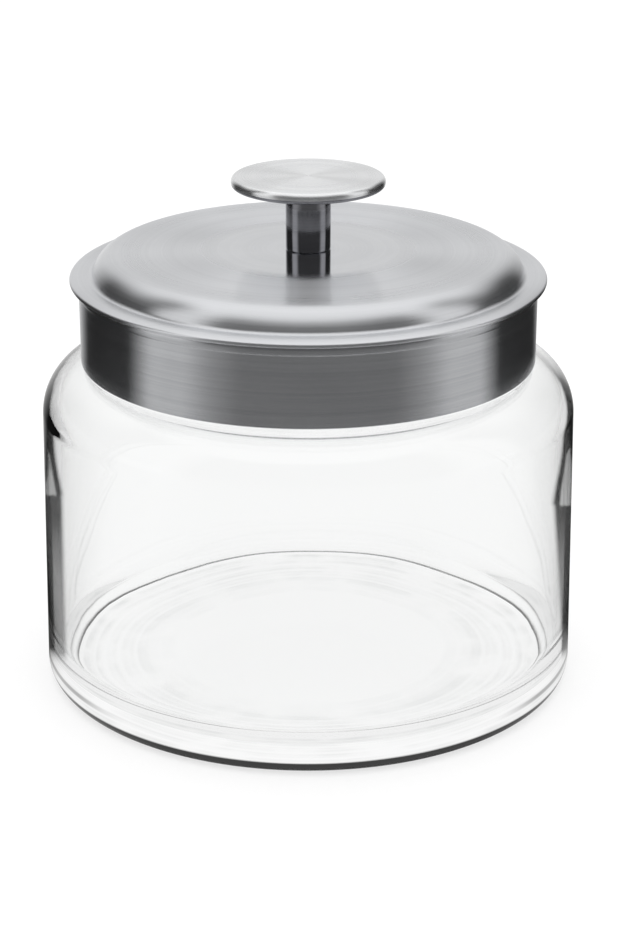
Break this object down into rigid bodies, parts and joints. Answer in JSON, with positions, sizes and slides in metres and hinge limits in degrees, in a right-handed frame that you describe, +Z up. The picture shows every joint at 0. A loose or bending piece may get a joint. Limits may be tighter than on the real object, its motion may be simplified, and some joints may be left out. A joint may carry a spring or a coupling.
{
  "type": "glass storage jar",
  "caption": "Straight-sided clear glass storage jar with a rounded shoulder and a domed metal lid lifted by a disc knob on a short post.",
  "frame": {"origin": "centre of the base, on the surface the jar stands on", "axes": "+Z up along the jar's axis, out through the knob; +X and +Y level"},
  "size_m": [0.147, 0.147, 0.14],
  "materials": {
    "clear_glass": "clear polished soda-lime glass",
    "brushed_band": "brushed around the band",
    "satin_top": "satin, finely turned",
    "polished_stem": "polished",
    "turned_disc": "turned face with fine rings"
  },
  "bodies": {
    "root": {"jar_glass": "clear_glass", "lid_band": "brushed_band", "lid_top": "satin_top", "knob_stem": "polished_stem", "knob_disc": "turned_disc"}
  },
  "joints": []
}
